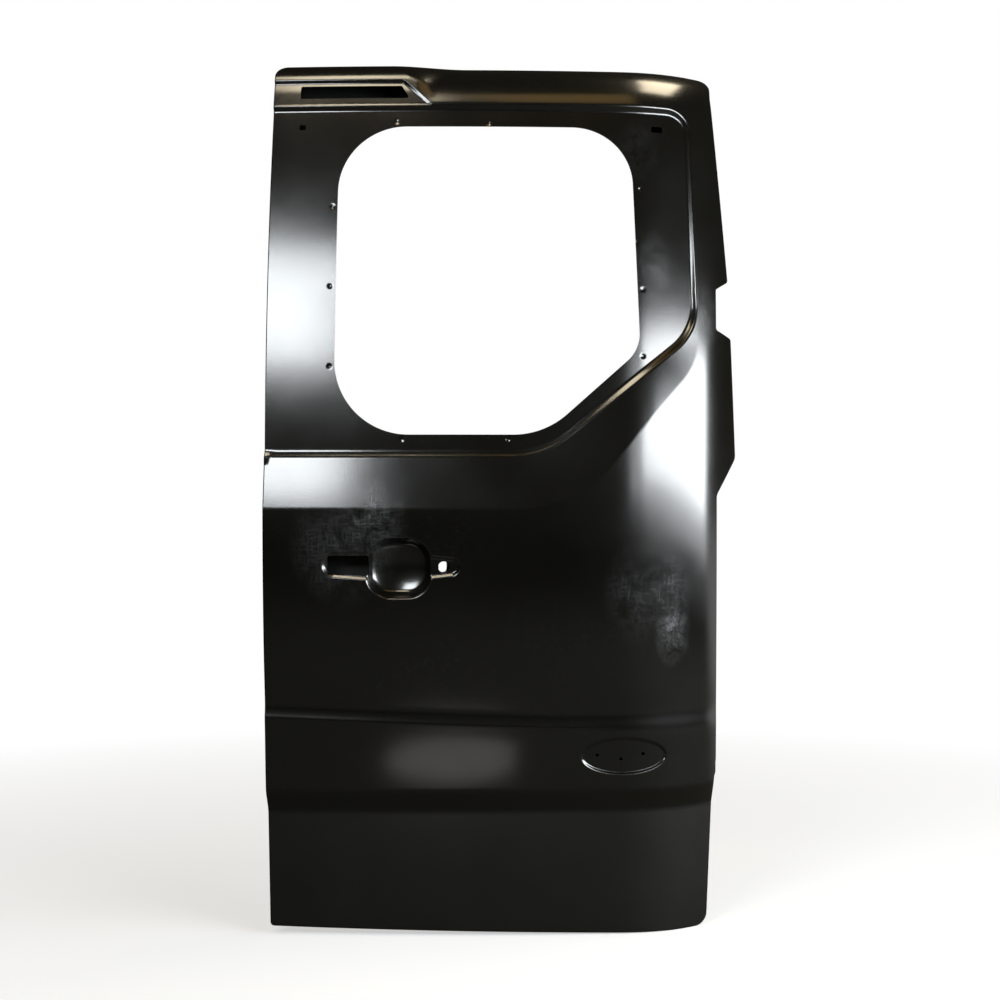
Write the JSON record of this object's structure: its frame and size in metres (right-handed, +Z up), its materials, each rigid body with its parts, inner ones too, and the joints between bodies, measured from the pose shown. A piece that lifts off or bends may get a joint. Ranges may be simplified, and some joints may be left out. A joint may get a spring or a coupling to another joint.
{
  "type": "van rear barn door shell",
  "caption": "Bare pressed-steel rear barn door for a campervan: hemmed outer skin with sunk window frame and handle bowl over a boxed inner panel with hinge and latch plates.",
  "frame": {"origin": "on the seat of the upper hinge, midway between its two bolts", "axes": "+X out of the hinge edge, +Y from the outer face into the vehicle, +Z up"},
  "size_m": [0.7668, 0.2945, 1.436],
  "materials": {
    "primer": "semi-gloss black primer",
    "inner_primer": "satin black primer",
    "bare_steel": "zinc plated",
    "mastic": "matt"
  },
  "bodies": {
    "root": {"outer_skin": "primer", "inner_panel": "inner_primer", "waist_rail": "inner_primer", "upper_beam": "inner_primer", "middle_beam": "inner_primer", "header_rail": "inner_primer", "sill_rail": "inner_primer", "band_beam": "inner_primer", "upper_beam_mastic": "mastic", "middle_beam_mastic": "mastic", "band_beam_mastic": "mastic", "lock_pillar": "inner_primer", "handle_reinforcement": "inner_primer", "upper_hinge_plate": "inner_primer", "upper_hinge_nuts": "bare_steel", "lower_hinge_plate": "inner_primer", "lower_hinge_nuts": "bare_steel", "check_strap_plate": "inner_primer", "check_strap_nuts": "bare_steel", "latch_plate": "inner_primer", "latch_nuts": "bare_steel"}
  },
  "joints": []
}
